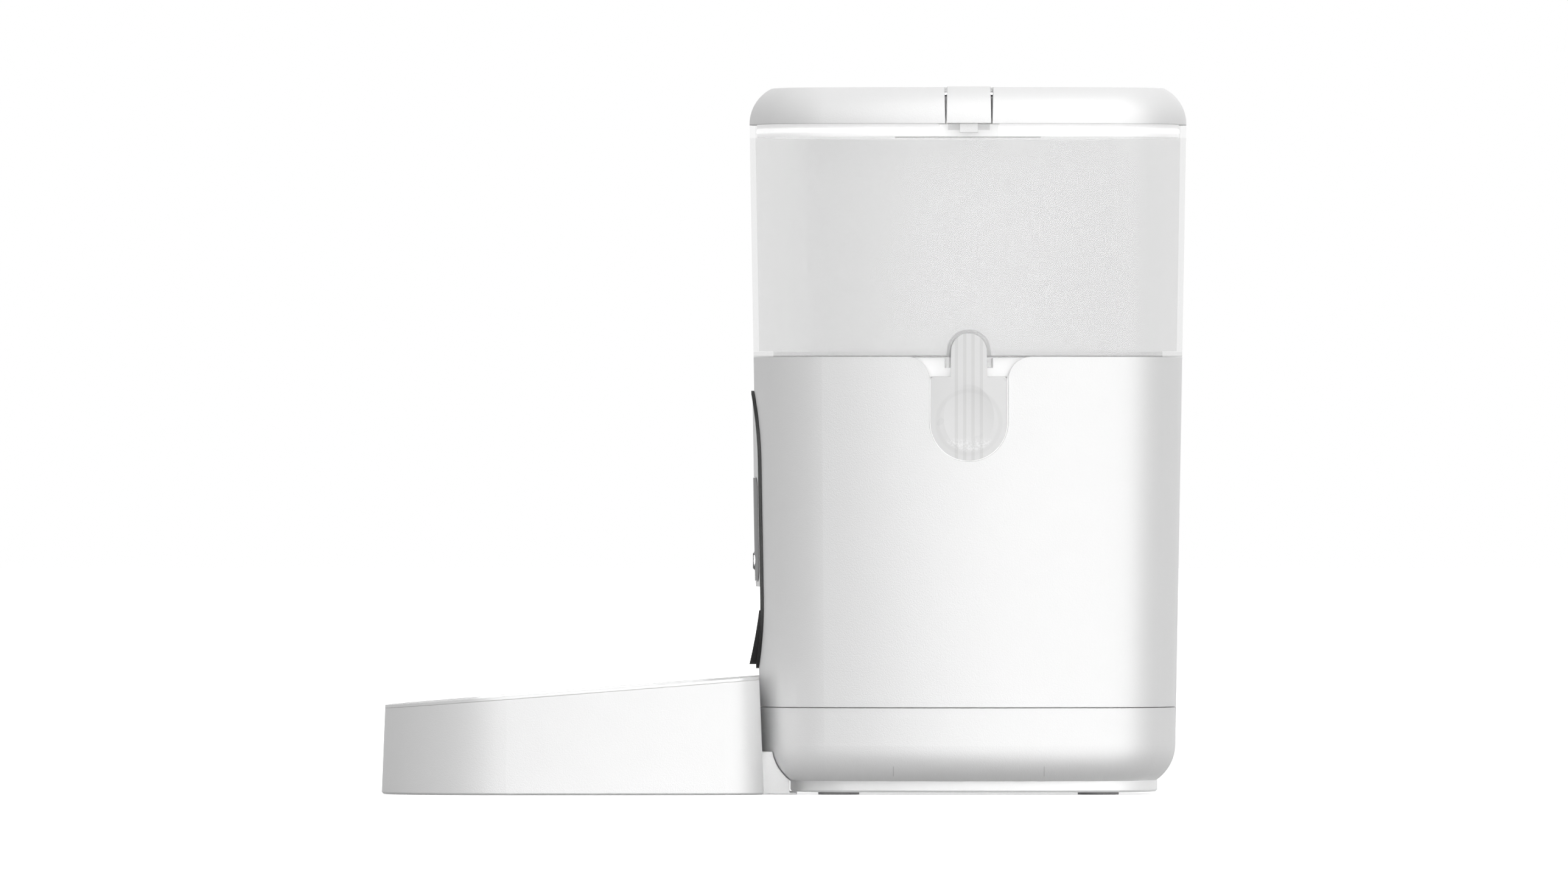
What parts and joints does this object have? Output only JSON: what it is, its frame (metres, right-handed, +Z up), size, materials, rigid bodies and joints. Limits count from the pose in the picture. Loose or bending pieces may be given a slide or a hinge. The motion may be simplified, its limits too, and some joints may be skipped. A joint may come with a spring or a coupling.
{
  "type": "pet food dispenser",
  "caption": "Countertop pet feeder: lidded translucent food tank on a tapering body with a display, dosing rotor and spout over a removable bowl.",
  "frame": {"origin": "centre of the outline on the floor: half way along the depth and width of the whole feeder, at the underside of the bowl holder and feet", "axes": "+Z up, -Y towards the bowl at the front, +X to the right as seen from the front"},
  "size_m": [0.18, 0.3537, 0.31],
  "materials": {
    "white_shell": "satin white moulding",
    "inner_plastic": "matt off-white moulding",
    "smoke_clear": "smoked translucent",
    "smoke_window": "dark smoked gloss",
    "dark_trim": "matt black",
    "bowl_plastic": "glossy pale grey",
    "chrome_trim": "bright plated",
    "foot_rubber": "matt grey",
    "soft_seal": "soft translucent",
    "rotor_soft": "soft grey",
    "gear_plastic": "ivory engineering plastic",
    "steel": "plain",
    "motor_steel": "plated can",
    "board_green": "solder mask",
    "light_lens": "milky",
    "cell_jacket": "plain printed sleeve, no marks"
  },
  "bodies": {
    "housing": {"base_housing": "white_shell", "bottom_cover": "inner_plastic", "rubber_feet": "foot_rubber", "battery_door": "inner_plastic", "battery_cells": "cell_jacket", "battery_contacts": "steel", "power_socket": "dark_trim", "speaker": "dark_trim", "body_shell": "white_shell", "hopper_frame": "inner_plastic", "dosing_drum": "inner_plastic", "portion_baffle": "soft_seal", "gearbox_case": "inner_plastic", "gearbox_lid": "inner_plastic", "idler_pin": "steel", "motor": "motor_steel", "food_chute": "inner_plastic", "chute_spout": "dark_trim", "front_ring": "dark_trim", "faceplate": "white_shell", "display_window": "smoke_window", "button_bezel": "dark_trim", "chrome_ring": "chrome_trim", "front_board": "board_green", "indicator_lights": "light_lens", "main_board": "board_green"},
    "rotor": {"rotor_wheel": "rotor_soft", "drive_shaft": "steel", "output_gear": "gear_plastic"},
    "idler": {"idler_gear": "gear_plastic"},
    "pinion": {"motor_pinion": "gear_plastic"},
    "feed_button": {"feed_button": "dark_trim"},
    "tank": {"tank": "smoke_clear"},
    "tab_right": {"release_tab_right": "smoke_clear"},
    "tab_left": {"release_tab_left": "smoke_clear"},
    "lid": {"lid_shell": "white_shell", "lid_liner": "inner_plastic", "lid_seal": "soft_seal", "desiccant_pocket": "inner_plastic", "latch_pin_right": "steel", "latch_pin_left": "steel"},
    "latch_right": {"latch_right": "white_shell"},
    "latch_left": {"latch_left": "white_shell"},
    "pocket_door": {"desiccant_door": "inner_plastic"},
    "bowl_holder": {"bowl_holder": "white_shell"},
    "food_bowl": {"food_bowl": "bowl_plastic"}
  },
  "joints": [
    {"name": "tank_lift", "type": "slide", "parent": "housing", "child": "tank", "axis": [0, 0, 1], "range_m": [0, 0.08]},
    {"name": "lid_lift", "type": "slide", "parent": "tank", "child": "lid", "axis": [0, 0, 1], "range_m": [0, 0.03]},
    {"name": "latch_right_swing", "type": "hinge", "parent": "lid", "child": "latch_right", "pos_m": [0.0756, 0.08085, 0.3067], "axis": [0, -1, 0], "range_deg": [0, 40]},
    {"name": "latch_left_swing", "type": "hinge", "parent": "lid", "child": "latch_left", "pos_m": [-0.0756, 0.08085, 0.3067], "axis": [0, 1, 0], "range_deg": [0, 40]},
    {"name": "pocket_door_swing", "type": "hinge", "parent": "lid", "child": "pocket_door", "pos_m": [0, 0.11285, 0.28995], "axis": [1, 0, 0], "range_deg": [0, 90]},
    {"name": "tab_right_press", "type": "hinge", "parent": "tank", "child": "tab_right", "pos_m": [0.08585, 0.08085, 0.196], "axis": [0, 1, 0], "range_deg": [0, 2.5], "stiffness_Nm_per_rad": 2},
    {"name": "tab_left_press", "type": "hinge", "parent": "tank", "child": "tab_left", "pos_m": [-0.08585, 0.08085, 0.196], "axis": [0, -1, 0], "range_deg": [0, 2.5], "stiffness_Nm_per_rad": 2},
    {"name": "rotor_spin", "type": "hinge", "parent": "housing", "child": "rotor", "pos_m": [0, 0.08085, 0.12], "axis": [0, 0, 1], "continuous": true},
    {"name": "idler_spin", "type": "hinge", "parent": "housing", "child": "idler", "pos_m": [0, 0.10985, 0.088], "axis": [0, 0, 1], "continuous": true},
    {"name": "pinion_spin", "type": "hinge", "parent": "housing", "child": "pinion", "pos_m": [0, 0.12905, 0.083], "axis": [0, 0, 1], "continuous": true},
    {"name": "button_press", "type": "slide", "parent": "housing", "child": "feed_button", "axis": [0, 1, 0], "range_m": [0, 0.0005], "stiffness_N_per_m": 400},
    {"name": "holder_pull", "type": "slide", "parent": "housing", "child": "bowl_holder", "axis": [0, -1, 0], "range_m": [0, 0.03]},
    {"name": "bowl_lift", "type": "slide", "parent": "bowl_holder", "child": "food_bowl", "axis": [0, 0, 1], "range_m": [0, 0.004]}
  ],
  "couplings": [
    {"joint": "idler_spin", "follows": "rotor_spin", "ratio": -3.8333},
    {"joint": "pinion_spin", "follows": "rotor_spin", "ratio": 11.5}
  ]
}
